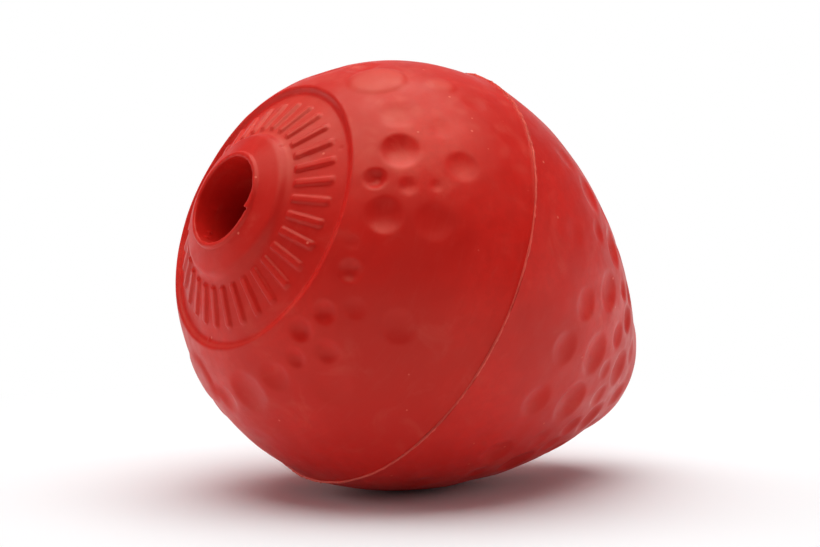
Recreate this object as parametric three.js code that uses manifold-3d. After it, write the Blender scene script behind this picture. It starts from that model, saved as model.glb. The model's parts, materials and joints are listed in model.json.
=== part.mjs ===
// A hollow rubber throw toy: a round front shell with the treat mouth, a tapering rear shell,
// and the ring of cured cement that bonds them at the widest place. Millimetres, +Z up.
//
// Outlines are written as radius and along: the distance from the toy's axis, and the place
// on it, with 0 at the joint of the shells, + towards the mouth and - towards the tail tip.
// A turn is an angle round the axis, in degrees, from the toy's upper side.
import * as THREE from "three";
import { mergeVertices } from "three/addons/utils/BufferGeometryUtils.js";
import Module from "manifold-3d";

const wasm = await Module();
wasm.setup();

// Body
const bellyRadius = 38; // the rear shell at the joint, the widest place
const wall = 11.5; // rubber between the chamber and the outside of the rear shell
const seamStep = 0.5; // the rear shell stands this far proud of the round front shell
const frontCentre = -0.5; // place of the front sphere's centre

// Mouth and collar, from the bore outwards
const boreRadius = 7.8;
const neckRounding = 1.5; // edge where the bore meets the chamber
const lipWidth = 0.8; // flat lip round the bore
const lipHeight = 0.25; // above the collar's face
const creaseWidth = 0.3; // groove outside the lip
const creaseDepth = 0.15;
const collarWidth = 4; // conical face, from the crease to the ridge
const collarRise = 2; // the face climbs this far from the ridge to the mouth
const collarRounding = 0.9; // along either side of the ridge
const collarHeight = 1.4; // ridge above the channel
const collarSlope = 0.9; // the collar's foot lies this far outside its ridge

// Channel round the collar, with plain raised ribs
const channelWidth = 8.6;
const channelDepth = 1.1; // below the sphere at the outer wall
const channelFootDepth = 1.5; // below the sphere at the collar's foot
const channelWallSlope = 1.6; // the outer wall leans out by this much
const ribCount = 32;
const ribInset = 0.8; // from the collar's foot to the ribs
const ribLength = 6.9;
const ribWidth = 1.3;
const ribHeight = 0.45;

// Tail: a slightly bowed flank that runs into a round tip
const tailReach = 53; // tip, from the joint
const tipRadius = 16.8;
const tipAngle = 55; // half angle of the round tip
const flankHandle = 26.5; // how far the belly's fullness carries back
const flankDrop = 2.9; // fall of the flank over that length
const tipHandle = 2;

// Joint of the two shells
const bondThickness = 0.3; // cement between the rims
const bondBead = 0.2; // squeezed-out bead, proud of the belly
const clearance = 0.3; // between seated faces
const landWidth = 3.5; // inner land, between chamber and tongue
const tongueThickness = 3.5;
const tongueHeight = 3;

// The toy lies on its side, with the mouth raised by this angle
const restTilt = 24;

// Facets
const around = 40;
const dishSides = 8;
const smallDishSides = 7;
const smallDishWidth = 6; // craters up to this width are plain cones
const sphereSteps = 8;
const chamberSteps = 6;
const restFacet = 6; // length of the tail's facet that lies on the ground
const flankSteps = 3; // from there to the joint
const tipSteps = 9; // from there to the tip
const tailChamberSteps = 9;

// Craters of the front shell: latitude from the joint, turn, width, and depth below the rim.
// The same half is moulded again on the far side.
const craters = [
  [38, 46.5, 10.5, 0.15],
  [38, 57, 7, 1.05],
  [44, 68.5, 3.8, 0.75],
  [39.8, 81, 6.4, 0.75],
  [35.5, 69.8, 3, 0.4],
  [27, 79.2, 6.6, 0.42],
  [22, 60.5, 5.6, 0.55],
  [27, 48, 4.5, 0.25],
  [43, 102.7, 4, 0.5],
  [37, 112.5, 3.8, 0.25],
  [43, 119.8, 4, 0.5],
  [44.8, 131, 4.2, 0.55],
  [40.3, 140, 3.6, 0.42],
  [36, 129.8, 4.4, 0.5],
  [39.5, 152, 5.6, 0.65],
  [38, 168, 8.2, 0.55],
  [35.3, 184, 5.8, 0.6],
  [25.2, 110.5, 6, 0.22],
  [28.5, 137.5, 7, 0.16],
];
const craterTurns = [0, 180];

// Dimples of the rear shell: share of the way from joint to tip, turn, width, and depth
// below the rim. The same quarter is moulded four times round.
const dimples = [
  [0.155, 39.5, 5, 0.12],
  [0.16, 65, 5, 0.1],
  [0.26, 45, 6.8, 0.5],
  [0.288, 57, 4.2, 0.3],
  [0.27, 82, 6, 0.45],
  [0.245, 96.5, 6.4, 0.5],
  [0.245, 114, 6.4, 0.5],
  [0.4, 54, 7.3, 0.65],
  [0.382, 72, 7.4, 0.6],
  [0.4, 93.7, 7.9, 0.7],
  [0.403, 112.2, 8.4, 0.65],
  [0.39, 129, 5, 0.25],
  [0.494, 62.5, 4.2, 0.45],
  [0.505, 81.5, 5, 0.5],
  [0.5, 96.5, 4, 0.35],
  [0.545, 108.5, 4.8, 0.45],
  [0.505, 125.3, 5.2, 0.5],
  [0.465, 137.5, 4.5, 0.45],
  [0.572, 70.3, 5.6, 0.7],
  [0.61, 93.4, 7.2, 0.75],
  [0.607, 122, 7.2, 0.75],
  [0.6, 145, 5.5, 0.6],
  [0.72, 78, 5, 0.35],
  [0.742, 108, 5.4, 0.4],
  [0.72, 136, 5, 0.5],
  [0.86, 62, 5, 0.5],
  [0.86, 107, 5, 0.45],
];
const dimpleTurns = [0, 90, 180, 270];
const tipDimpleWidth = 6;
const tipDimpleDepth = 0.6;

const rad = THREE.MathUtils.degToRad;
const deg = THREE.MathUtils.radToDeg;

// Place on the axis of a sphere's surface at a radius from the axis.
function sphereAlong(radius, sphereRadius, centre) {
  return centre + Math.sqrt(sphereRadius ** 2 - radius ** 2);
}

// Sizes that follow from the ones above
const frontRadius = bellyRadius - seamStep;
const chamberRadius = bellyRadius - wall;
const rimGap = bondThickness / 2 + clearance; // from the joint plane to either rim
const tongueInnerRadius = chamberRadius + landWidth;
const tongueOuterRadius = tongueInnerRadius + tongueThickness;
const lipRadius = boreRadius + lipWidth;
const creaseRadius = lipRadius + creaseWidth;
const collarRadius = creaseRadius + collarWidth;
const channelInnerRadius = collarRadius + collarSlope;
const channelOuterRadius = channelInnerRadius + channelWidth;
const stepRadius = channelOuterRadius + channelWallSlope;
const footReach = sphereAlong(channelInnerRadius, frontRadius, frontCentre) - channelFootDepth;
const floorReach = sphereAlong(channelOuterRadius, frontRadius, frontCentre) - channelDepth;
const collarReach = footReach + collarHeight;
const mouthReach = collarReach + collarRise;
const lipReach = mouthReach + lipHeight;

// A point of a circle about a centre on the axis.
function onCircle(circleRadius, centre, latitude) {
  const angle = rad(latitude);
  return [circleRadius * Math.cos(angle), centre + circleRadius * Math.sin(angle)];
}

function arc(circleRadius, centre, from, to, steps) {
  const points = [];
  for (let i = 0; i <= steps; i += 1) {
    points.push(onCircle(circleRadius, centre, from + ((to - from) * i) / steps));
  }
  return points;
}

// A corner of an outline, rounded off over the given length on either side.
function roundCorner(before, corner, after, length, steps) {
  const [a, b, c] = [before, corner, after].map(([radius, along]) => new THREE.Vector2(radius, along));
  const start = b.clone().add(a.sub(b).setLength(length));
  const end = b.clone().add(c.sub(b).setLength(length));
  const curve = new THREE.QuadraticBezierCurve(start, b, end);
  return curve.getPoints(steps).map((p) => [p.x, p.y]);
}

// A closed triangle geometry as a solid that can be cut and joined.
function solidOf(geometry) {
  geometry.deleteAttribute("normal");
  geometry.deleteAttribute("uv");
  const merged = mergeVertices(geometry, 1e-4);
  const corners = merged.index.array;
  const triangles = [];
  for (let i = 0; i < corners.length; i += 3) {
    const [a, b, c] = corners.slice(i, i + 3);
    if (a !== b && b !== c && c !== a) triangles.push(a, b, c);
  }
  const vertProperties = new Float32Array(merged.attributes.position.array);
  const triVerts = new Uint32Array(triangles);
  return new wasm.Manifold(new wasm.Mesh({ numProp: 3, vertProperties, triVerts }));
}

// An outline turned about the axis. It runs upwards along the outside.
function turned(outline, sides, start = 0) {
  const points = outline.map(([radius, along]) => new THREE.Vector2(radius, along));
  return new THREE.LatheGeometry(points, sides, start, 2 * Math.PI);
}

// A shell whose facets touch the outline with their middles, one of them at the lowest side.
function shellOf(outline) {
  const half = Math.PI / around;
  const spread = outline.map(([radius, along]) => [radius / Math.cos(half), along]);
  return solidOf(turned(spread, around, half));
}

// Stands a piece's +Y on the surface along its outward normal, and its +Z up the slope.
function seat(geometry, place, turn) {
  const out = new THREE.Vector3(Math.cos(rad(turn)), 0, Math.sin(rad(turn)));
  const axis = new THREE.Vector3(0, 1, 0);
  const lean = rad(place.lean);
  const normal = out.clone().multiplyScalar(Math.cos(lean)).addScaledVector(axis, Math.sin(lean));
  const slope = out.clone().multiplyScalar(-Math.sin(lean)).addScaledVector(axis, Math.cos(lean));
  const side = new THREE.Vector3().crossVectors(normal, slope);
  const matrix = new THREE.Matrix4().makeBasis(side, normal, slope);
  matrix.setPosition(out.multiplyScalar(place.radius).addScaledVector(axis, place.along));
  return geometry.applyMatrix4(matrix);
}

// A bowl of this width, and of this depth below its rim, cut where the surface is round.
function cutDish(body, place, turn, width, depth) {
  const rim = width / 2;
  const rimDrop = place.roundness - Math.sqrt(place.roundness ** 2 - rim ** 2);
  const bottom = rimDrop + depth;
  const bowlRadius = (rim ** 2 + depth ** 2) / (2 * depth);
  const pastRim = 1.25; // the bowl is carried on beyond its rim, to leave the surface
  const end = deg(Math.asin(rim / bowlRadius)) * pastRim - 90;
  const small = width <= smallDishWidth;
  const bowl = arc(bowlRadius, bowlRadius - bottom, -90, end, small ? 1 : 2);
  bowl[0][0] = 0;
  const outline = [...bowl, [bowl.at(-1)[0], bottom], [0, bottom]];
  const cutter = turned(outline, small ? smallDishSides : dishSides);
  return body.subtract(solidOf(seat(cutter, place, turn)));
}

function frontPlace(latitude) {
  const [radius, along] = onCircle(frontRadius, frontCentre, latitude);
  return { radius, along, lean: latitude, roundness: frontRadius };
}

// The outside of the rear shell, from the joint to the tip.
const tail = new THREE.Path();
const tipCentre = tipRadius - tailReach;
const [tipEdgeRadius, tipEdgeAlong] = onCircle(tipRadius, tipCentre, tipAngle - 90);
tail.moveTo(bellyRadius, 0);
tail.bezierCurveTo(
  bellyRadius - flankDrop,
  -flankHandle,
  tipEdgeRadius + tipHandle * Math.cos(rad(tipAngle)),
  tipEdgeAlong + tipHandle * Math.sin(rad(tipAngle)),
  tipEdgeRadius,
  tipEdgeAlong,
);
tail.absarc(0, tipCentre, tipRadius, rad(tipAngle - 90), rad(-90), true);

// A place on the tail, at a share of the way from joint to tip.
function tailPlace(share) {
  const point = tail.getPointAt(share);
  const tangent = tail.getTangentAt(share);
  const slope = Math.atan2(tangent.x, -tangent.y);
  return { radius: point.x, along: point.y, lean: deg(slope), roundness: point.x / Math.cos(slope) };
}

// The share at which the tail's side leans back by an angle, found by halving.
function shareLeaning(angle) {
  let [low, high] = [0, 1];
  for (let i = 0; i < 20; i += 1) {
    const middle = (low + high) / 2;
    if (tailPlace(middle).lean > -angle) low = middle;
    else high = middle;
  }
  return low;
}

// The tail's outline, moved inwards by a depth, from tip to joint or back.
function tailOutline(depth, from, to, steps) {
  const points = [];
  for (let i = 0; i <= steps; i += 1) {
    const share = from + ((to - from) * i) / steps;
    const place = tailPlace(share);
    const lean = rad(place.lean);
    const radius = place.radius - depth * Math.cos(lean);
    const along = place.along - depth * Math.sin(lean);
    points.push([share === 1 ? 0 : radius, along]);
  }
  return points;
}

// Front shell: sphere, channel, collar, lip, bore, half of the chamber and the tongue's groove.
function frontShell() {
  const rimLatitude = deg(Math.asin((rimGap - frontCentre) / frontRadius));
  const stepLatitude = deg(Math.acos(stepRadius / frontRadius));
  const floorEdge = [channelOuterRadius, floorReach];
  const foot = [channelInnerRadius, footReach];
  const ridge = [collarRadius, collarReach];
  const crease = [creaseRadius, mouthReach - creaseDepth];
  const neckEdge = [boreRadius, sphereAlong(boreRadius, chamberRadius, 0)];
  const neckLatitude = deg(Math.acos((boreRadius + neckRounding) / chamberRadius));
  const chamber = arc(chamberRadius, 0, neckLatitude, 0, chamberSteps);
  const grooveInnerRadius = tongueInnerRadius - clearance;
  const grooveOuterRadius = tongueOuterRadius + clearance;
  const grooveTop = tongueHeight + clearance;
  const landEnd = clearance - rimGap;
  const outline = [
    ...arc(frontRadius, frontCentre, rimLatitude, stepLatitude, sphereSteps),
    floorEdge,
    ...roundCorner(floorEdge, foot, ridge, collarRounding / 2, 1),
    ...roundCorner(foot, ridge, crease, collarRounding, 2),
    crease,
    [lipRadius, lipReach],
    [boreRadius, lipReach],
    ...roundCorner([boreRadius, lipReach], neckEdge, chamber[0], neckRounding, 2),
    ...chamber.slice(1),
    [chamberRadius, landEnd],
    [grooveInnerRadius, landEnd],
    [grooveInnerRadius, grooveTop],
    [grooveOuterRadius, grooveTop],
    [grooveOuterRadius, rimGap],
  ];
  outline.push(outline[0]);
  let shell = shellOf(outline);
  for (const startTurn of craterTurns) {
    for (const [latitude, turn, width, depth] of craters) {
      shell = cutDish(shell, frontPlace(latitude), startTurn + turn, width, depth);
    }
  }
  return addRibs(shell);
}

// Plain ribs across the channel's floor, with clipped corners, rooted in the rubber.
function addRibs(shell) {
  const lean = 90 - deg(Math.atan2(footReach - floorReach, channelWidth));
  const fromFoot = ribInset + ribLength / 2;
  const radius = channelInnerRadius + fromFoot * Math.sin(rad(lean));
  const middle = { radius, along: footReach - fromFoot * Math.cos(rad(lean)), lean };
  const clip = ribWidth / 4;
  const [x, z] = [ribWidth / 2, ribLength / 2];
  const end = [[x, z - clip], [x - clip, z], [clip - x, z], [-x, z - clip]];
  const corners = [...end, ...end.map(([u, v]) => [-u, -v])];
  const shape = new THREE.Shape(corners.map(([u, v]) => new THREE.Vector2(u, v)));
  let ribbed = shell;
  for (let i = 0; i < ribCount; i += 1) {
    const bar = new THREE.ExtrudeGeometry(shape, { depth: ribHeight * 2, bevelEnabled: false });
    bar.translate(0, 0, -ribHeight);
    bar.rotateX(-Math.PI / 2);
    ribbed = ribbed.add(solidOf(seat(bar, middle, (360 * i) / ribCount)));
  }
  return ribbed;
}

// Rear shell: dimpled tail, chamber, inner land and the tongue that enters the front shell.
function rearShell() {
  const rimShare = rimGap / tail.getLength();
  const chamberShare = wall / tail.getLength();
  const restShare = shareLeaning(restTilt);
  const halfFacet = restFacet / 2 / tail.getLength();
  const outline = [
    ...tailOutline(0, 1, restShare + halfFacet, tipSteps),
    ...tailOutline(0, restShare - halfFacet, rimShare, flankSteps),
    [tongueOuterRadius, -rimGap],
    [tongueOuterRadius, tongueHeight],
    [tongueInnerRadius, tongueHeight],
    [tongueInnerRadius, -rimGap],
    [chamberRadius, -rimGap],
    ...tailOutline(wall, chamberShare, 1, tailChamberSteps),
  ];
  let shell = shellOf(outline);
  for (const startTurn of dimpleTurns) {
    for (const [share, turn, width, depth] of dimples) {
      shell = cutDish(shell, tailPlace(share), startTurn + turn, width, depth);
    }
  }
  const tip = { radius: 0, along: -tailReach, lean: -90, roundness: tipRadius };
  return cutDish(shell, tip, 0, tipDimpleWidth, tipDimpleDepth);
}

// Bond: a flat ring of cement between the rims, with its bead outside.
function seamBond() {
  const inner = tongueOuterRadius + clearance;
  const half = bondThickness / 2;
  const crown = bellyRadius + bondBead;
  const outline = [
    [inner, -half],
    [bellyRadius, -half],
    [crown, -half / 2],
    [crown, half / 2],
    [bellyRadius, half],
    [inner, half],
    [inner, -half],
  ];
  return shellOf(outline);
}

function meshOf(name, solid, material) {
  const { vertProperties, triVerts } = solid.getMesh();
  const geometry = new THREE.BufferGeometry();
  geometry.setAttribute("position", new THREE.BufferAttribute(vertProperties, 3));
  geometry.setIndex(new THREE.BufferAttribute(triVerts, 1));
  geometry.computeVertexNormals();
  const mesh = new THREE.Mesh(geometry, material);
  mesh.name = name;
  return mesh;
}

const rubber = new THREE.MeshStandardMaterial({ color: 0xc22a24, roughness: 0.48, metalness: 0 });
const cement = new THREE.MeshStandardMaterial({ color: 0xcc3a30, roughness: 0.42, metalness: 0 });

const toy = new THREE.Group();
toy.add(meshOf("front_shell", frontShell(), rubber));
toy.add(meshOf("rear_shell", rearShell(), rubber));
toy.add(meshOf("seam_bond", seamBond(), cement));

// Lie down: the axis points to -X and up, turn 0 is the upper side, turn 90 faces -Y.
const tilt = rad(restTilt);
const upper = new THREE.Vector3(Math.sin(tilt), 0, Math.cos(tilt));
const mouthward = new THREE.Vector3(-Math.cos(tilt), 0, Math.sin(tilt));
const sideways = new THREE.Vector3(0, -1, 0);
toy.quaternion.setFromRotationMatrix(new THREE.Matrix4().makeBasis(upper, mouthward, sideways));

// Stand the lowest point on the ground, with the origin under the middle of the toy.
toy.updateMatrixWorld(true);
const extent = new THREE.Box3().setFromObject(toy, true);
const middle = extent.getCenter(new THREE.Vector3());
toy.position.set(-middle.x, -middle.y, -extent.min.z);

export default toy;
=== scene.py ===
"""A hollow rubber throw toy with a treat mouth, lying on a pale studio floor."""

import json
from math import acos, asin, atan2, cos, degrees, radians, sin, sqrt

import bpy
import numpy as np
from mathutils import Matrix, Vector


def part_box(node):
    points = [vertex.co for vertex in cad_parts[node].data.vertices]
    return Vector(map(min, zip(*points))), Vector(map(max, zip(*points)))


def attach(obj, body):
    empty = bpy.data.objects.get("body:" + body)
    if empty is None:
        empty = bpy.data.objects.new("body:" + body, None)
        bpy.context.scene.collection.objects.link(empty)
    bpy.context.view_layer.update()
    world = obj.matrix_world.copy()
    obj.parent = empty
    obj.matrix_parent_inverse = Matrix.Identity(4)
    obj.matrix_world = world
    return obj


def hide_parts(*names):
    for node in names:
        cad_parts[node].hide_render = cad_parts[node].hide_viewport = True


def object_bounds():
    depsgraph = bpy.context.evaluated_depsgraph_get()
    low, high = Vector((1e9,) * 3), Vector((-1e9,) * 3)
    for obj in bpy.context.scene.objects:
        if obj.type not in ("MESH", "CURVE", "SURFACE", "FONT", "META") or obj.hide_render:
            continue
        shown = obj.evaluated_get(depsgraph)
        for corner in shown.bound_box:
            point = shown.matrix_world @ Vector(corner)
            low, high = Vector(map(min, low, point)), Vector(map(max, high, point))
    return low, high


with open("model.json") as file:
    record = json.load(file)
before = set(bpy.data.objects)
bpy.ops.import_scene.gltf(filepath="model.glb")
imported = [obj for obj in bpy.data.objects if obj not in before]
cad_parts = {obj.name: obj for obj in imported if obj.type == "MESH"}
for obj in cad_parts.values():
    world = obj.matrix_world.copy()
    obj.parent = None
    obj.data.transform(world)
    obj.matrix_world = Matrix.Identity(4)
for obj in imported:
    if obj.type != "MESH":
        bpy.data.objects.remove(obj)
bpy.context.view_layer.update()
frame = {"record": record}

# The toy's own axis runs from the tail to the mouth, which is raised from the floor. Places
# are given in millimetres as a radius from the axis, a distance along it (0 at the joint of
# the two shells, + towards the mouth) and a turn about it, from the toy's upper side.
MM = 0.001
joint_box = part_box("seam_bond")
joint_centre = (np.array(joint_box[0]) + np.array(joint_box[1])) / 2
mouthward = np.array(frame["record"]["mounts"][0]["axis"])
sideways = np.array((0.0, -1.0, 0.0))
upper = np.cross(mouthward, sideways)


# The camera looks slightly down at the mouth's side, through a long lens.
view_azimuth = radians(-33.77)
view_elevation = radians(6.11)
view_distance = 625.63
view_right = 3.634  # the picture's middle lies this far right of the joint's middle
view_up = 0.307
lens = 158.05

right = Vector((cos(view_azimuth), sin(view_azimuth), 0))
back = Vector((
    sin(view_azimuth) * cos(view_elevation),
    -cos(view_azimuth) * cos(view_elevation),
    sin(view_elevation),
))
up = back.cross(right)
camera = bpy.data.objects.new("camera", bpy.data.cameras.new("camera"))
camera.data.lens = lens
camera.data.sensor_width = 36
camera.data.sensor_fit = "HORIZONTAL"
camera.data.clip_start = 0.01
camera.data.clip_end = 20
stand = Vector(joint_centre) + (view_right * right + view_up * up + view_distance * back) * MM
camera.matrix_world = Matrix.Translation(stand) @ Matrix((right, up, back)).transposed().to_4x4()
bpy.context.scene.collection.objects.link(camera)
bpy.context.scene.camera = camera


# Front shell: the round half, moulded in one piece of solid red rubber about 11 mm thick. It
# has the treat mouth with its lip, a collar, a sunk channel with plain raised ribs, and
# scattered craters. Its rim is cemented to the rear shell round a tongue and groove.
belly_radius = 38.0
wall = 11.5
seam_step = 0.5  # the rear shell stands this far proud of the front one
front_radius = belly_radius - seam_step
front_centre = -0.5
chamber_radius = belly_radius - wall
bond_half = 0.15  # half the cement's thickness

bore_radius = 7.8
bore_fine = 4.5  # the bore's rows are finer this far in, where it has crumbs
lip_width = 0.75
lip_height = 0.28
crease_width = 0.3
crease_depth = 0.32
collar_width = 3.75
collar_rise = 2.0
collar_height = 1.4
collar_slope = 0.6
channel_width = 9.4
channel_depth = 1.65
channel_foot_depth = 1.6
channel_wall_slope = 1.3
rib_count = 32
rib_inset = 1.2  # from the collar's foot
rib_length = 6.9
rib_width = 1.3
rib_height = 0.45

land_width = 3.5
tongue_thickness = 3.5
tongue_height = 3.0
clearance = 0.3

flare = 0.36  # the front shell's edge flares out towards the seam by this much
flare_length = 3.5
dip_depth = 0.1  # a fine dip in the skin, just in front of the seam
dip_along = 0.55
dip_width = 0.3
front_turns = 480
skin_gap = 0.47  # between the rows of the outer skin

flash_height = 0.5
flash_start = 74  # the turn at which the torn flash begins
flash_growth = 22
flash_end = 96.5
notch_turn = 98.5
notch_width = 2
notch_share = 0.5

highlight_patch_share = 0.5  # of the paler patches of painted highlight on the upper side
patch_size = 4
patch_level = 0.35
channel_highlight = 0.8  # painted highlight on the upward-facing part of the channel's floor

# Latitude from the joint, turn, width, depth below the rim, and softness of the rim. The two
# with a negative depth are low bosses with flat tops.
craters = [
    (37.5, 19.5, 10.4, -0.42, 0.04),
    (37.6, 41.3, 6.6, 0.26, 0.08),
    (38, 57, 7, 1.05, 0.12),
    (44, 68.5, 3.8, 1.0, 0.06),
    (39.8, 81, 6.4, 0.75, 0.12),
    (35.5, 69.8, 3, 0.4, 0.14),
    (27, 79.2, 6.6, 0.42, 0.14),
    (22, 60.5, 5.6, 0.36, 0.1),
    (27, 48, 4.5, 0.2, 0.08),
    (22, 27, 5, -0.22, 0.06),
    (15, 35, 4.5, 0.14, 0.06),
    (28.3, 68.3, 2, 0.25, 0.08),
    (43, 102.7, 4, 0.8, 0.06),
    (45.5, 93.7, 2.4, 0.25, 0.08),
    (37, 112.5, 3.8, 0.32, 0.08),
    (43, 119.8, 4, 0.8, 0.07),
    (44.8, 131, 4.2, 0.85, 0.07),
    (40.3, 140, 3.6, 0.65, 0.07),
    (36, 129.8, 4.4, 0.7, 0.08),
    (39.5, 152, 5.6, 0.65, 0.12),
    (38, 168, 8.2, 0.55, 0.12),
    (35.3, 184, 5.8, 0.6, 0.12),
    (25.2, 110.5, 6, 0.5, 0.05),
    (28.5, 137.5, 7, 0.2, 0.06),
]

# Painted highlights, paler than the rest, where craters and bosses catch the light: latitude, turn, half the
# width, and how much paler.
highlight_spots = [
    (37.5, 19.5, 4.9, 1),
    (22, 27, 2.2, 0.6),
    (38.2, 42.8, 2.4, 0.7),
    (38.5, 61, 2.4, 0.5),
    (22.5, 61.5, 2, 0.4),
]


def front_along(radius):
    """Place along the axis of the front sphere's surface: centre + sqrt(R^2 - radius^2)."""
    return front_centre + sqrt(front_radius**2 - radius**2)


def circle(radius, centre, start, end):
    """Points of a circle about a centre on the axis: radius times cos and sin of latitude."""
    latitude = np.radians(np.linspace(start, end, 400))
    return np.stack([radius * np.cos(latitude), centre + radius * np.sin(latitude)], axis=1)


def spaced(points, gap):
    """Rows along a dense line of points, equally spaced, about one gap apart, without its last."""
    length = np.append(0, np.cumsum(np.linalg.norm(np.diff(points, axis=0), axis=1)))
    mark = np.linspace(0, length[-1], max(1, round(length[-1] / gap)), endpoint=False)
    return np.stack([np.interp(mark, length, points[:, k]) for k in (0, 1)], axis=1)


def filleted(corners):
    """Rows along straight sides whose corners are rounded off.

    A corner is (radius, along, rounding, gap). It becomes the quadratic curve
    (1-t)^2 start + 2t(1-t) corner + t^2 end, with start and end one rounding from the corner
    on its two sides, and the straight side after it has a row about every gap.
    """
    t = np.linspace(0, 1, 12)[:, None]
    rows = []
    place = np.array(corners[0][:2])
    gap = corners[0][3]
    for i in range(1, len(corners) - 1):
        before, here, after = (np.array(corners[k][:2]) for k in (i - 1, i, i + 1))
        rounding = corners[i][2]
        start = here + rounding * (before - here) / np.linalg.norm(before - here)
        end = here + rounding * (after - here) / np.linalg.norm(after - here)
        rows.append(spaced(np.array([place, start]), gap))
        rows.append(spaced((1 - t)**2 * start + 2 * t * (1 - t) * here + t**2 * end, rounding / 2))
        place, gap = end, corners[i][3]
    rows.append(spaced(np.array([place, corners[-1][:2]]), gap))
    return np.concatenate(rows)


def turned(rows, columns, ring):
    """The plain turned skin and its outward normals, as arrays of rows by columns by 3.

    The coordinates are (radius cos turn, radius sin turn, along). The normal is the outline's
    tangent turned a quarter, (d along, -d radius), carried round with the turn.
    """
    step = np.roll(rows, -1, axis=0) - np.roll(rows, 1, axis=0) if ring else np.gradient(rows, axis=0)
    step /= np.linalg.norm(step, axis=1, keepdims=True)
    turn = np.linspace(0, 2 * np.pi, columns, endpoint=False)
    round_about = np.stack([np.cos(turn), np.sin(turn)], axis=1)
    flat = rows[:, None, :1] * round_about
    skin = np.concatenate([flat, np.broadcast_to(rows[:, None, 1:], (*flat.shape[:2], 1))], axis=2)
    lean = step[:, None, 1:] * round_about
    normal = np.concatenate([lean, np.broadcast_to(-step[:, None, :1], (*lean.shape[:2], 1))], axis=2)
    return skin, normal


def place_at(radius, along, turn):
    """A point's coordinates: (radius cos turn, radius sin turn, along)."""
    return np.array([radius * cos(radians(turn)), radius * sin(radians(turn)), along])


def hollow(skin, centre, lean, turn, roundness, width, depth, softness):
    """Height of a crater: the soft positive part of a paraboloid, pressed in.

    With d the distance from the crater's middle across its normal, and a half its width, the
    paraboloid is h = D (1 - d^2/a^2), D being the depth below the rim and the fall of the round
    skin over that width, a^2 / 2 roundness. The soft positive part is (h + sqrt(h^2 + s^2)) / 2.
    A boss has a negative depth: it rises by h = depth (1 - (d/a)^8), which makes its top flat.
    """
    half = width / 2
    out = place_at(cos(radians(lean)), sin(radians(lean)), turn)
    away = skin - centre
    level = away @ out
    distance = (away**2).sum(axis=2) - level**2
    full = depth + half**2 / (2 * roundness) if depth > 0 else depth
    bowl = full * (1 - (distance / half**2)**(1 if depth > 0 else 4))
    press = (bowl + np.sign(depth) * np.sqrt(bowl**2 + softness**2)) / 2
    return -np.where(np.abs(level) < width, press, 0) * np.clip(3 - distance / half**2, 0, 1)


def waves(skin, size, seed):
    """Soft unevenness, mostly from -1 to 1, in plane waves about `size` long.

    It is the sum of sin(place . way + shift) over the waves, divided by their number's root.
    """
    count = 30
    random = np.random.default_rng(seed)
    way = random.normal(size=(count, 3))
    length = np.linalg.norm(way, axis=1, keepdims=True)
    way *= (2 * np.pi / size) * random.uniform(0.7, 1.5, (count, 1)) / length
    shift = random.uniform(0, 2 * np.pi, count)
    height = np.zeros(skin.shape[:2])
    for k in range(count):
        height += np.sin(skin @ way[k] + shift[k])
    return height / sqrt(count)


def unevenness(skin, seed):
    """The moulding's unevenness: long waves of 0.035 mm and short ones of 0.009 mm."""
    return 0.035 * waves(skin, 16, seed) + 0.009 * waves(skin, 4.5, seed + 2)


def grains(skin, spots):
    """Small lumps and pits: the sum of height * exp(-(distance / size)^2) over the spots."""
    height = np.zeros(skin.shape[:2])
    for radius, along, turn, size, rise in spots:
        distance = ((skin - place_at(radius, along, turn))**2).sum(axis=2)
        height += rise * np.exp(-distance / size**2)
    return height


def rib_relief(skin, middle_radius, middle_along, slope):
    """Height of the ribs: full inside a rounded bar, smoothly down to 0 across its edge.

    A bar's own coordinates are the distance across it, radius times the turn from the nearest
    rib, and the distance along it, measured up the channel's floor.
    """
    radius = np.hypot(skin[..., 0], skin[..., 1])
    share = np.arctan2(skin[..., 1], skin[..., 0]) * rib_count / (2 * np.pi)
    across = radius * (share - np.round(share)) * 2 * np.pi / rib_count
    along = (radius - middle_radius) * cos(slope) - (skin[..., 2] - middle_along) * sin(slope)
    corner = 0.35
    edge_width = 0.42
    reach = 1.5  # ribs rise only from skin this near the channel's floor
    side = np.abs(across) - rib_width / 2 + corner
    end = np.abs(along) - rib_length / 2 + corner
    beyond = np.hypot(np.maximum(side, 0), np.maximum(end, 0))
    edge = beyond + np.minimum(np.maximum(side, end), 0) - corner
    rise = np.clip(0.5 - edge / edge_width, 0, 1)
    above = (radius - middle_radius) * sin(slope) + (skin[..., 2] - middle_along) * cos(slope)
    return rib_height * rise**2 * (3 - 2 * rise) * (np.abs(above) < reach)


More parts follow.
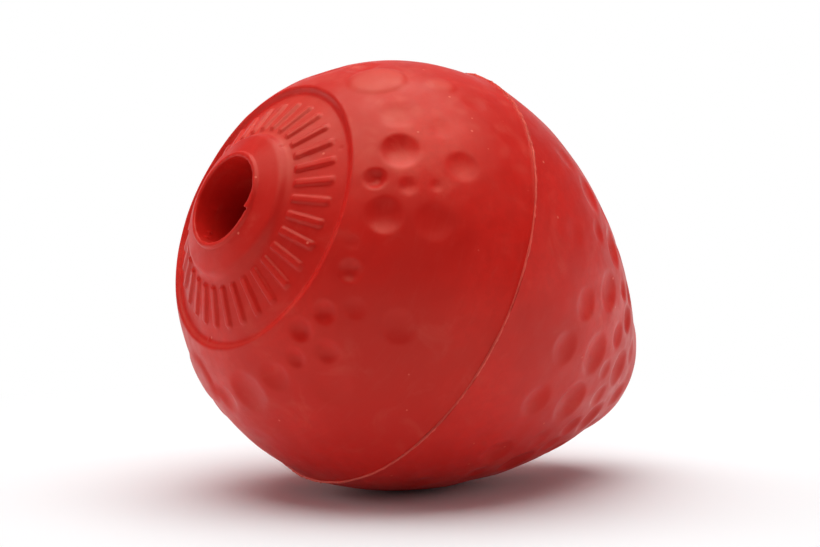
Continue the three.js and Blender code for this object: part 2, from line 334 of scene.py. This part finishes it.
def make_mesh(name, skin, ring, painted_highlight):
    """A mesh of the skin's rows and columns, closed round the axis.

    A ring's last row joins its first; otherwise the first and last rows close on the axis,
    each with one point. The painted highlight, from 0 to 1 at each point, is kept for the material.
    """
    rows, columns = skin.shape[:2]
    points = skin.reshape(-1, 3)
    i = np.arange(rows if ring else rows - 1)[:, None]
    j = np.arange(columns)[None, :]
    above, beside = (i + 1) % rows * columns, (j + 1) % columns
    here = i * columns
    faces = np.stack([here + j, above + j, above + beside, here + beside], axis=2).reshape(-1, 4).tolist()
    if not ring:
        ends = [np.array([0, 0, skin[0, :, 2].mean()]), np.array([0, 0, skin[-1, :, 2].mean()])]
        first, last = len(points), len(points) + 1
        points = np.vstack([points, ends])
        painted_highlight = np.append(painted_highlight, (0, 0))
        edge = np.arange(columns)
        top = (rows - 1) * columns
        faces += np.stack([np.full(columns, first), edge, (edge + 1) % columns], axis=1).tolist()
        faces += np.stack([np.full(columns, last), top + (edge + 1) % columns, top + edge], axis=1).tolist()
    world = joint_centre + MM * points @ np.stack([upper, sideways, mouthward])
    mesh = bpy.data.meshes.new(name)
    mesh.from_pydata(world.tolist(), [], faces)
    mesh.polygons.foreach_set("use_smooth", np.ones(len(mesh.polygons), bool))
    painted_paleness = mesh.attributes.new("painted_highlight", "FLOAT", "POINT")
    painted_paleness.data.foreach_set("value", np.ravel(painted_highlight).astype(np.float32))
    mesh.update()
    piece = bpy.data.objects.new(name, mesh)
    bpy.context.scene.collection.objects.link(piece)
    return piece


def wired(tree, kind, inputs, **settings):
    """A shader node with its settings and its inputs, each a value or another node's socket."""
    node = tree.nodes.new(kind)
    for key, value in settings.items():
        setattr(node, key, value)
    for key, value in inputs.items():
        if isinstance(value, bpy.types.NodeSocket):
            tree.links.new(value, node.inputs[key])
        else:
            node.inputs[key].default_value = value
    return node


def noise(tree, place, scale, detail, roughness=0.5, distortion=0.0):
    """Cloudy noise at `scale` to the metre."""
    inputs = {
        "Vector": place, "Scale": scale, "Detail": detail,
        "Roughness": roughness, "Distortion": distortion}
    return wired(tree, "ShaderNodeTexNoise", inputs).outputs["Fac"]


def span(tree, value, low, high, start, end):
    """A value from low to high, spread from start to end, smoothly and held at the ends."""
    inputs = {"Value": value, "From Min": low, "From Max": high, "To Min": start, "To Max": end}
    return wired(tree, "ShaderNodeMapRange", inputs, interpolation_type="SMOOTHSTEP").outputs["Result"]


def blended(tree, share, first, second):
    """The first colour going to the second with the share."""
    node = wired(tree, "ShaderNodeMix", {"Factor": share}, data_type="RGBA")
    for socket, value in ((node.inputs[6], first), (node.inputs[7], second)):
        if isinstance(value, bpy.types.NodeSocket):
            tree.links.new(value, socket)
        else:
            socket.default_value = value
    return node.outputs[2]


def rubber(name, base, pale, gloss):
    """Satin moulded rubber.

    Its red is slightly cloudy and finely mottled, with pale smudges, short pale strokes that run
    round the toy, paler places of painted highlight, tiny dark pits and light crumbs. Its surface
    is a fine matt skin whose roughness lies about `gloss`.
    """
    material = bpy.data.materials.new(name)
    material.use_nodes = True
    tree = material.node_tree
    tree.nodes.clear()
    place = tree.nodes.new("ShaderNodeTexCoord").outputs["Object"]
    cloud = span(tree, noise(tree, place, 55, 3), 0.35, 0.65, 0, 1)
    deep = tuple(0.86 * channel for channel in base[:3]) + (1,)
    colour = blended(tree, cloud, base, deep)
    mottle = span(tree, noise(tree, place, 520, 4, 0.7), 0.4, 0.65, 0, 0.5)
    colour = blended(tree, mottle, colour, deep)
    smudge = span(tree, noise(tree, place, 130, 5, 0.6, 0.8), 0.54, 0.78, 0, 0.2)
    colour = blended(tree, smudge, colour, pale)
    axis_place = wired(
        tree, "ShaderNodeVectorMath", {0: place, 1: mouthward}, operation="DOT_PRODUCT").outputs["Value"]
    drawn = wired(tree, "ShaderNodeVectorMath", {0: mouthward, "Scale": axis_place}, operation="SCALE")
    short = wired(tree, "ShaderNodeVectorMath", {0: place, "Scale": 0.2}, operation="SCALE")
    brushed = wired(tree, "ShaderNodeVectorMath", {0: drawn.outputs[0], 1: short.outputs[0]}, operation="ADD")
    stroke = span(tree, noise(tree, brushed.outputs[0], 700, 4, 0.65, 0.6), 0.52, 0.8, 0, 0.075)
    colour = blended(tree, stroke, colour, pale)
    # The red pales by the per-point attribute read here, which carries painted highlight.
    painted_highlight = wired(tree, "ShaderNodeAttribute", {}, attribute_name="painted_highlight").outputs["Fac"]
    painted_paleness = wired(tree, "ShaderNodeMath", {0: painted_highlight, 1: 0.3}, operation="MULTIPLY").outputs[0]
    colour = blended(tree, painted_paleness, colour, pale)
    cells = wired(tree, "ShaderNodeTexVoronoi", {"Vector": place, "Scale": 420})
    tone = wired(tree, "ShaderNodeSeparateColor", {"Color": cells.outputs["Color"]})
    chosen = span(tree, tone.outputs["Red"], 0.99, 0.992, 0, 1)
    spot = span(tree, cells.outputs["Distance"], 0.04, 0.1, 1, 0)
    pit = wired(tree, "ShaderNodeMath", {0: chosen, 1: spot}, operation="MULTIPLY").outputs[0]
    colour = blended(tree, pit, colour, (0.18, 0.008, 0.008, 1))
    lucky = span(tree, tone.outputs["Green"], 0.88, 0.884, 0, 1)
    fleck = span(tree, cells.outputs["Distance"], 0.06, 0.13, 1, 0)
    crumb = wired(tree, "ShaderNodeMath", {0: lucky, 1: fleck}, operation="MULTIPLY").outputs[0]
    colour = blended(tree, crumb, colour, pale)
    matt = noise(tree, place, 240, 4, 0.6)
    rough = span(tree, matt, 0.3, 0.7, gloss - 0.06, gloss + 0.08)
    fine = noise(tree, place, 2600, 2)
    coarse = noise(tree, place, 700, 3)
    skin = wired(tree, "ShaderNodeMath", {0: fine, 1: coarse}, operation="ADD")
    grain = wired(tree, "ShaderNodeBump", {"Strength": 0.35, "Distance": 0.00004, "Height": skin.outputs[0]})
    sunk = wired(tree, "ShaderNodeBump", {
        "Strength": 1.0, "Distance": -0.00012, "Height": pit, "Normal": grain.outputs["Normal"]})
    shader = wired(tree, "ShaderNodeBsdfPrincipled", {
        "Base Color": colour, "Roughness": rough, "Normal": sunk.outputs["Normal"],
        "IOR": 1.5, "Specular IOR Level": 0.3, "Specular Tint": (1, 0.86, 0.66, 1)})
    wired(tree, "ShaderNodeOutputMaterial", {"Surface": shader.outputs["BSDF"]})
    return material


crease_radius = bore_radius + lip_width + crease_width
collar_radius = crease_radius + collar_width
foot_radius = collar_radius + collar_slope
floor_radius = foot_radius + channel_width
step_radius = floor_radius + channel_wall_slope
foot_along = front_along(foot_radius) - channel_foot_depth
floor_along = front_along(floor_radius) - channel_depth
collar_along = foot_along + collar_height
mouth_along = collar_along + collar_rise
lip_along = mouth_along + lip_height
neck_along = sqrt(chamber_radius**2 - bore_radius**2)
neck_rounding = 1.5
step_rounding = 0.45
rim_rounding = 0.1
tongue_inner = chamber_radius + land_width
tongue_outer = tongue_inner + tongue_thickness
rim_gap = bond_half + clearance
land_end = clearance - rim_gap

step_latitude = degrees(acos(step_radius / front_radius))
skin_start = degrees(asin((bond_half + 2 * rim_rounding - front_centre) / front_radius))
skin_end = step_latitude - degrees(1.5 * step_rounding / front_radius)
neck_latitude = degrees(acos((bore_radius + neck_rounding) / chamber_radius))
sphere = circle(front_radius, front_centre, skin_start, skin_end)
chamber = circle(chamber_radius, 0, neck_latitude, 0)
front_rows = np.concatenate([
    spaced(sphere, skin_gap),
    filleted([
        (*sphere[-1], 0, 0.3),
        (step_radius, front_along(step_radius), step_rounding, 0.25),
        (floor_radius, floor_along, 0.5, 0.31),
        (foot_radius, foot_along, 0.75, 0.3),
        (collar_radius, collar_along, 0.65, 0.4),
        (crease_radius, mouth_along - crease_depth, 0.12, 0.2),
        (bore_radius + lip_width, lip_along, 0.2, 0.25),
        (bore_radius, lip_along, 0.35, 0.3),
        (bore_radius, lip_along - bore_fine, 0.1, 0.8),
        (bore_radius, neck_along, neck_rounding, 2),
        (*chamber[0], 0, 1),
    ]),
    spaced(chamber, 3),
    filleted([
        (chamber_radius, 0, 0, 1),
        (chamber_radius, land_end, 0.1, 2),
        (tongue_inner - clearance, land_end, 0.1, 3),
        (tongue_inner - clearance, tongue_height + clearance, 0.1, 3),
        (tongue_outer + clearance, tongue_height + clearance, 0.1, 3),
        (tongue_outer + clearance, bond_half, 0.1, 3),
        (sqrt(front_radius**2 - (bond_half - front_centre)**2), bond_half, rim_rounding, 0.2),
        (*sphere[0], 0, 1),
    ]),
])
near_seam = np.clip(1 - (front_rows[:, 1] - bond_half) / flare_length, 0, 1)
near_seam *= front_rows[:, 0] > front_radius - 1
front_rows[:, 0] += flare * near_seam**2 * (front_rows[:, 1] > bond_half - 0.01)
front_skin, front_normal = turned(front_rows, front_turns, ring=True)

# Crumbs and nicks in the mouth and in two craters, and pinholes and crumbs in the channel:
# radius, along, turn, size, height.
front_grains = [
    (bore_radius, lip_along - 1.0, 172, 0.45, 0.45),
    (bore_radius, lip_along - 3.5, 205, 0.35, 0.3),
    (bore_radius, lip_along - 3.2, 226, 0.3, 0.3),
    (bore_radius, lip_along - 1.6, 192, 0.4, 0.3),
    (bore_radius, lip_along - 2.4, 214, 0.35, 0.25),
    (bore_radius, lip_along - 4.0, 262, 0.4, 0.15),
    (bore_radius, lip_along - 0.9, 158, 0.35, 0.3),
    (27.6, 25.3, 67, 0.5, -0.25),
    (26.7, 26.2, 68.2, 0.35, 0.3),
    (27.3, 25.8, 70.2, 0.3, 0.22),
    (26.4, 26.8, 70.5, 0.3, -0.25),
    (29.2, 22.4, 77, 0.4, -0.2),
    (29.8, 22, 78.6, 0.3, -0.15),
    (foot_radius - 0.2, foot_along + 0.2, 30, 0.3, -0.35),
    (floor_radius - 1.2, floor_along + 0.6, 50.5, 0.25, -0.2),
    (floor_radius - 2.1, floor_along + 1.1, 45.5, 0.22, -0.15),
    (floor_radius, floor_along, 187, 0.35, 0.25),
    (step_radius, front_along(step_radius), 86, 0.3, 0.15),
]
axis_distance = np.hypot(front_skin[..., 0], front_skin[..., 1])
front_relief = unevenness(front_skin, 3)
front_relief += grains(front_skin, front_grains)
dip = np.exp(-((front_skin[..., 2] - dip_along) / dip_width)**2)
front_relief -= dip_depth * dip * (axis_distance > front_radius - 1)
rib_slope = atan2(foot_along - floor_along, channel_width)
rib_middle = rib_inset + rib_length / 2
rib_radius = foot_radius + rib_middle * cos(rib_slope)
rib_along = foot_along - rib_middle * sin(rib_slope)
front_relief += rib_relief(front_skin, rib_radius, rib_along, rib_slope)

# The torn flash at the mouth's edge: a thin wedge that grows inwards over some 20 degrees of
# the turn and ends in a notch, and a fine waviness all round.
turn = np.degrees(np.arctan2(front_skin[..., 1], front_skin[..., 0])) % 360
at_edge = np.exp(-((axis_distance - bore_radius) / 0.5)**2)
at_edge *= np.exp(-((front_skin[..., 2] - lip_along) / 0.45)**2)
wedge = np.clip((turn - flash_start) / flash_growth, 0, 1)**1.5 * (turn < flash_end)
wedge -= notch_share * np.exp(-((turn - notch_turn) / notch_width)**2)
front_relief += at_edge * (flash_height * wedge + 0.05 * waves(front_skin, 2.2, 17))

# The craters lie on the sphere alone, so they fade out at the channel's edge and the seam.
edge_distance = axis_distance - step_radius
outer = np.clip(edge_distance / 0.8 + 0.5, 0, 1) * (front_skin[..., 2] > bond_half + 0.05)
outer *= np.linalg.norm(front_skin - (0, 0, front_centre), axis=2) > front_radius - 0.6
pressed = np.zeros(front_skin.shape[:2])
for half_turn in (0, 180):
    for latitude, turn, width, depth, softness in craters:
        centre = place_at(
            front_radius * cos(radians(latitude)),
            front_centre + front_radius * sin(radians(latitude)),
            turn + half_turn,
        )
        pressed += hollow(
            front_skin, centre, latitude, turn + half_turn, front_radius, width, depth, softness)
front_relief += pressed * outer

# Painted highlight: paler places on some craters and bosses where they catch the light, patches
# of the skin that faces up, and the upward-facing part of the channel's floor are painted paler.
front_highlight = np.zeros(front_skin.shape[:2])
for latitude, turn, size, share in highlight_spots:
    centre = place_at(
        front_radius * cos(radians(latitude)), front_centre + front_radius * sin(radians(latitude)), turn)
    distance = ((front_skin - centre)**2).sum(axis=2)
    front_highlight += share * np.exp(-(distance / size**2)**3)
# Patches of painted highlight on the skin that faces up towards the overhead light.
facing_up = front_normal @ (upper[2], sideways[2], mouthward[2])
highlight_patches = np.clip(waves(front_skin, patch_size, 21) - patch_level, 0, 1)
front_highlight += highlight_patch_share * np.clip((facing_up - 0.3) / 0.5, 0, 1) * highlight_patches
front_highlight = np.clip(front_highlight, 0, 1) * outer
# The upward-facing part of the channel's floor gets painted highlight.
in_channel = (edge_distance > foot_radius - step_radius) & (edge_distance < -0.3)
in_channel &= front_skin[..., 2] > floor_along - 1
front_highlight += channel_highlight * in_channel * np.clip((facing_up - 0.6) / 0.25, 0, 1)
front_shell = make_mesh(
    "front_shell_skin", front_skin + front_normal * front_relief[..., None], ring=True, painted_highlight=front_highlight)
red_rubber = rubber("red_rubber", (0.655, 0.0125, 0.0085, 1), (0.75, 0.13, 0.092, 1), 0.42)
front_shell.data.materials.append(red_rubber)
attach(front_shell, "root")
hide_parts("front_shell")


# Rear shell: the tapering tail half, of the same rubber and wall, with a bowed flank, a round
# tip and soft dimples all over. Its rim carries the tongue that enters the front shell.
tail_reach = 53.0
tip_radius = 16.8
tip_angle = 55
flank_handle = 26.5
flank_drop = 2.9
tip_handle = 2.0

shrinkage = 0.07  # the rubber draws in as it cools
fullness = 0.38  # the upper flank behind the seam is fuller by this much
fullness_along = -14
fullness_length = 10

rear_turns = 520
tail_gap = 0.46
tip_rows = 8  # fine points of the outline left out at the outer pole
inner_tip_rows = 30

# Share of the way from joint to tip, turn, width, depth below the rim, and softness.
dimples = [
    (0.155, 39.5, 5, 0.14, 0.08),
    (0.16, 65, 5, 0.12, 0.07),
    (0.26, 45, 6.8, 0.5, 0.1),
    (0.288, 57, 4.2, 0.32, 0.08),
    (0.27, 82, 6, 0.5, 0.09),
    (0.245, 96.5, 6.4, 0.55, 0.08),
    (0.245, 114, 6.4, 0.55, 0.08),
    (0.41, 53.5, 7.3, 0.7, 0.1),
    (0.385, 72, 7.4, 0.65, 0.1),
    (0.405, 93.7, 7.9, 0.75, 0.09),
    (0.405, 112.2, 8.4, 0.75, 0.08),
    (0.39, 129, 5, 0.28, 0.08),
    (0.51, 62.5, 4.2, 0.45, 0.1),
    (0.52, 82, 5, 0.55, 0.09),
    (0.51, 97, 4, 0.4, 0.08),
    (0.56, 108.5, 4.8, 0.5, 0.09),
    (0.52, 124.5, 5.2, 0.55, 0.09),
    (0.49, 134.5, 4.6, 0.35, 0.08),
    (0.585, 70, 5.6, 0.75, 0.1),
    (0.622, 93.2, 7.2, 0.85, 0.09),
    (0.625, 121.5, 7.2, 0.8, 0.09),
    (0.6, 145, 5.5, 0.5, 0.1),
    (0.72, 78, 5, 0.4, 0.1),
    (0.742, 108, 5.4, 0.45, 0.1),
    (0.72, 136, 5, 0.5, 0.09),
    (0.86, 62, 5, 0.55, 0.09),
    (0.86, 107, 5, 0.45, 0.09),
]
tip_dimple = (6, 0.6, 0.12)  # width, depth and softness


def tail_outline():
    """The tail's outside from joint to tip: a cubic curve and then an arc about the tip's centre.

    The cubic is (1-t)^3 A + 3(1-t)^2 t B + 3(1-t) t^2 C + t^3 D; B lies behind the belly and C
    lies on the arc's tangent, so the two run smoothly into each other.
    """
    tip_centre = tip_radius - tail_reach
    arc = circle(tip_radius, tip_centre, tip_angle - 90, -90)
    tangent = np.array([cos(radians(tip_angle)), sin(radians(tip_angle))])
    a = np.array([belly_radius, 0])
    b = np.array([belly_radius - flank_drop, -flank_handle])
    c = arc[0] + tip_handle * tangent
    t = np.linspace(0, 1, 1200)[:, None]
    flank = (1 - t)**3 * a + 3 * (1 - t)**2 * t * b + 3 * (1 - t) * t**2 * c + t**3 * arc[0]
    return np.concatenate([flank, arc[1:]])


tail = tail_outline()
tail_length = np.append(0, np.cumsum(np.linalg.norm(np.diff(tail, axis=0), axis=1)))
tail_step = np.gradient(tail, axis=0)
tail_step /= np.linalg.norm(tail_step, axis=1, keepdims=True)
inside = tail + wall * np.stack([tail_step[:, 1], -tail_step[:, 0]], axis=1)
first_row = np.searchsorted(tail_length, bond_half + 2 * rim_rounding)
inside = inside[tail_length > wall]
inside[-1, 0] = 0
rear_rows = np.concatenate([
    spaced(tail[first_row:-tip_rows][::-1], tail_gap),
    filleted([
        (*tail[first_row], 0, 0.2),
        (belly_radius, -bond_half, rim_rounding, 2),
        (tongue_outer, -bond_half, 0.1, 3),
        (tongue_outer, tongue_height, 0.3, 2),
        (tongue_inner, tongue_height, 0.3, 3),
        (tongue_inner, -rim_gap, 0.1, 2),
        (chamber_radius, -rim_gap, 0.1, 3),
        (*inside[0], 0, 3),
    ]),
    spaced(inside[:-inner_tip_rows], 3),
])
rear_skin, rear_normal = turned(rear_rows, rear_turns, ring=False)

axis_distance = np.hypot(rear_skin[..., 0], rear_skin[..., 1])
inner_radius = np.interp(-rear_skin[..., 2], -inside[:, 1], inside[:, 0])
outside = axis_distance > inner_radius + wall / 2
outside |= rear_skin[..., 2] < -tail_reach + wall / 2
pressed = np.zeros(rear_skin.shape[:2])
for quarter in (0, 90, 180, 270):
    for share, turn, width, depth, softness in dimples:
        mark = share * tail_length[-1]
        radius, along = (np.interp(mark, tail_length, tail[:, k]) for k in (0, 1))
        outwards, tailwards = (np.interp(mark, tail_length, tail_step[:, k]) for k in (0, 1))
        lean = atan2(outwards, -tailwards)
        pressed += hollow(
            rear_skin, place_at(radius, along, turn + quarter), degrees(lean), turn + quarter,
            radius / cos(lean), width, depth, softness)
pressed += hollow(rear_skin, place_at(0, -tail_reach, 0), -90, 0, tip_radius, *tip_dimple)
flank = np.exp(-((rear_skin[..., 2] - fullness_along) / fullness_length)**2)
upper_side = np.clip(rear_skin[..., 0] / axis_distance.clip(1), 0, 1)
rear_relief = (pressed - shrinkage + fullness * flank * upper_side) * outside
rear_relief += unevenness(rear_skin, 7)
rear_shell = make_mesh(
    "rear_shell_skin", rear_skin + rear_normal * rear_relief[..., None], ring=False, painted_highlight=0 * rear_relief)
rear_shell.data.materials.append(red_rubber)
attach(rear_shell, "root")
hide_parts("rear_shell")


# Seam bond: the ring of cured rubber cement between the rims. What squeezed out of the joint
# was trimmed to a fine, slightly wavy bead, which has small crumbs left on it.
bead = 0.13  # its height above the rear shell's rim
bead_lap = 0.18  # half the bead's width over the rims
crumb_count = 110
bond_turns = 1100
bond_rows = filleted([
    (tongue_outer + clearance, 0, 0, 0.3),
    (tongue_outer + clearance, -bond_half, 0.05, 3),
    (belly_radius - 0.3, -bond_half, 0.04, 0.08),
    (belly_radius - 0.2, -bead_lap, 0.04, 0.08),
    (belly_radius + bead, -bead_lap * 0.5, 0.06, 0.08),
    (belly_radius + bead, bead_lap * 0.5, 0.06, 0.08),
    (belly_radius - seam_step + flare - 0.1, bead_lap, 0.04, 0.08),
    (belly_radius - seam_step + flare - 0.2, bond_half, 0.04, 3),
    (tongue_outer + clearance, bond_half, 0.05, 0.3),
    (tongue_outer + clearance, 0, 0, 0.3),
])
bond_skin, bond_normal = turned(bond_rows, bond_turns, ring=True)

# Crumbs on the bead, chosen ones and scattered ones: radius, along, turn, size, height.
bead_crumbs = [
    (belly_radius, 0, 46, 0.25, 0.2),
    (belly_radius, 0, 49, 0.3, 0.15),
    (belly_radius, 0, 102, 0.25, 0.2),
    (belly_radius, 0, 78, 0.2, 0.15),
    (belly_radius, 0, 236, 0.3, 0.2),
    (belly_radius, 0, 305, 0.25, 0.2),
    (belly_radius, 0, 58, 0.5, 0.08),
    (belly_radius, 0, 66, 0.35, 0.1),
    (belly_radius, 0, 119, 0.4, 0.08),
]
random = np.random.default_rng(31)
bead_crumbs += [
    (
        belly_radius,
        random.uniform(-0.1, 0.1),
        random.uniform(0, 360),
        random.uniform(0.15, 0.4),
        random.uniform(0.03, 0.11),
    )
    for _ in range(crumb_count)
]
outer = np.clip((np.hypot(bond_skin[..., 0], bond_skin[..., 1]) - belly_radius + 0.5) / 0.5, 0, 1)
bond_relief = outer * (0.04 * waves(bond_skin, 6, 11) + 0.03 * waves(bond_skin, 1.4, 13) - 0.04)
bond_relief += outer * grains(bond_skin, bead_crumbs)
seam_bond = make_mesh(
    "seam_bond_bead", bond_skin + bond_normal * bond_relief[..., None], ring=True, painted_highlight=0 * bond_relief)
# The bead's rubber is painted paler than the shells: a painted highlight along the raised seam.
seam_bond.data.materials.append(rubber("bond_rubber", (0.8, 0.1, 0.075, 1), (0.85, 0.3, 0.24, 1), 0.36))
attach(seam_bond, "root")
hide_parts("seam_bond")


# Studio: a wide pale floor that shows white away from the toy, a large soft box overhead, and
# two soft cards at the sides, which the rubber doesn't mirror.
def seen(tree):
    """1 for rays from the camera and for rays that mirror or pass through, and else 0."""
    path = tree.nodes.new("ShaderNodeLightPath")
    sight = wired(tree, "ShaderNodeMath", {
        0: path.outputs["Is Camera Ray"], 1: path.outputs["Is Glossy Ray"]}, operation="MAXIMUM")
    return wired(tree, "ShaderNodeMath", {
        0: sight.outputs[0], 1: path.outputs["Is Transmission Ray"]}, operation="MAXIMUM").outputs[0]


floor_level = min(0.0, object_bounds()[0][2])
floor_size = 8.0
mesh = bpy.data.meshes.new("floor")
corners = [(x * floor_size, y * floor_size, floor_level) for x, y in ((-1, -1), (1, -1), (1, 1), (-1, 1))]
mesh.from_pydata(corners, [], [(0, 1, 2, 3)])
floor = bpy.data.objects.new("floor", mesh)
bpy.context.scene.collection.objects.link(floor)
material = bpy.data.materials.new("white_floor")
material.use_nodes = True
tree = material.node_tree
tree.nodes.clear()
matt = wired(tree, "ShaderNodeBsdfDiffuse", {"Color": (0.86, 0.9, 0.97, 1)})
white = wired(tree, "ShaderNodeEmission", {"Color": (1, 1, 1, 1), "Strength": 1})
place = tree.nodes.new("ShaderNodeTexCoord").outputs["Object"]
reach = wired(tree, "ShaderNodeVectorMath", {0: place}, operation="LENGTH").outputs["Value"]
far = span(tree, reach, 0.055, 0.14, 0, 1)
share = wired(tree, "ShaderNodeMath", {0: far, 1: seen(tree)}, operation="MULTIPLY").outputs[0]
mixed = wired(tree, "ShaderNodeMixShader", {0: share, 1: matt.outputs[0], 2: white.outputs[0]})
wired(tree, "ShaderNodeOutputMaterial", {"Surface": mixed.outputs[0]})
mesh.materials.append(material)

world = bpy.data.worlds.new("studio")
bpy.context.scene.world = world
world.use_nodes = True
tree = world.node_tree
tree.nodes.clear()
plain = wired(tree, "ShaderNodeBackground", {"Color": (1, 1, 1, 1), "Strength": 0.13})

# The backdrop is white where the camera looks, most of all a little below its line of sight,
# and dim towards the sides, so that only the skin near the outline mirrors white.
direction = tree.nodes.new("ShaderNodeTexCoord").outputs["Generated"]
viewer = (back + Vector((0, 0, 0.4))).normalized()
facing = wired(tree, "ShaderNodeVectorMath", {0: direction, 1: viewer}, operation="DOT_PRODUCT")
dim = span(tree, facing.outputs["Value"], -0.97, -0.5, 1, 0.12)
white = wired(tree, "ShaderNodeBackground", {"Color": (1, 1, 1, 1), "Strength": dim})
mixed = wired(tree, "ShaderNodeMixShader", {0: seen(tree), 1: plain.outputs[0], 2: white.outputs[0]})
wired(tree, "ShaderNodeOutputWorld", {"Surface": mixed.outputs[0]})


def soft_box(name, place, size, power, colour, mirrored):
    """A square lamp that faces the toy, and whose mirror image shows on it or doesn't."""
    lamp = bpy.data.lights.new(name, "AREA")
    lamp.shape = "SQUARE"
    lamp.size = size
    lamp.energy = power
    lamp.color = colour
    box = bpy.data.objects.new(name, lamp)
    box.location = place
    box.rotation_euler = (Vector((0, 0, 0.035)) - Vector(place)).to_track_quat("-Z", "Y").to_euler()
    box.visible_glossy = mirrored
    bpy.context.scene.collection.objects.link(box)


soft_box("overhead_box", (0, 0.04, 0.75), 0.9, 8.0, (1, 0.95, 0.88), mirrored=True)
for name, side, power in (("left_card", -1, 3.9), ("right_card", 1, 3.5)):
    place = Vector((0, 0, 0.1)) + side * 0.88 * right - 0.25 * back
    soft_box(name, place, 0.8, power, (1, 0.93, 0.86), mirrored=False)

bpy.context.scene.view_settings.view_transform = "Standard"
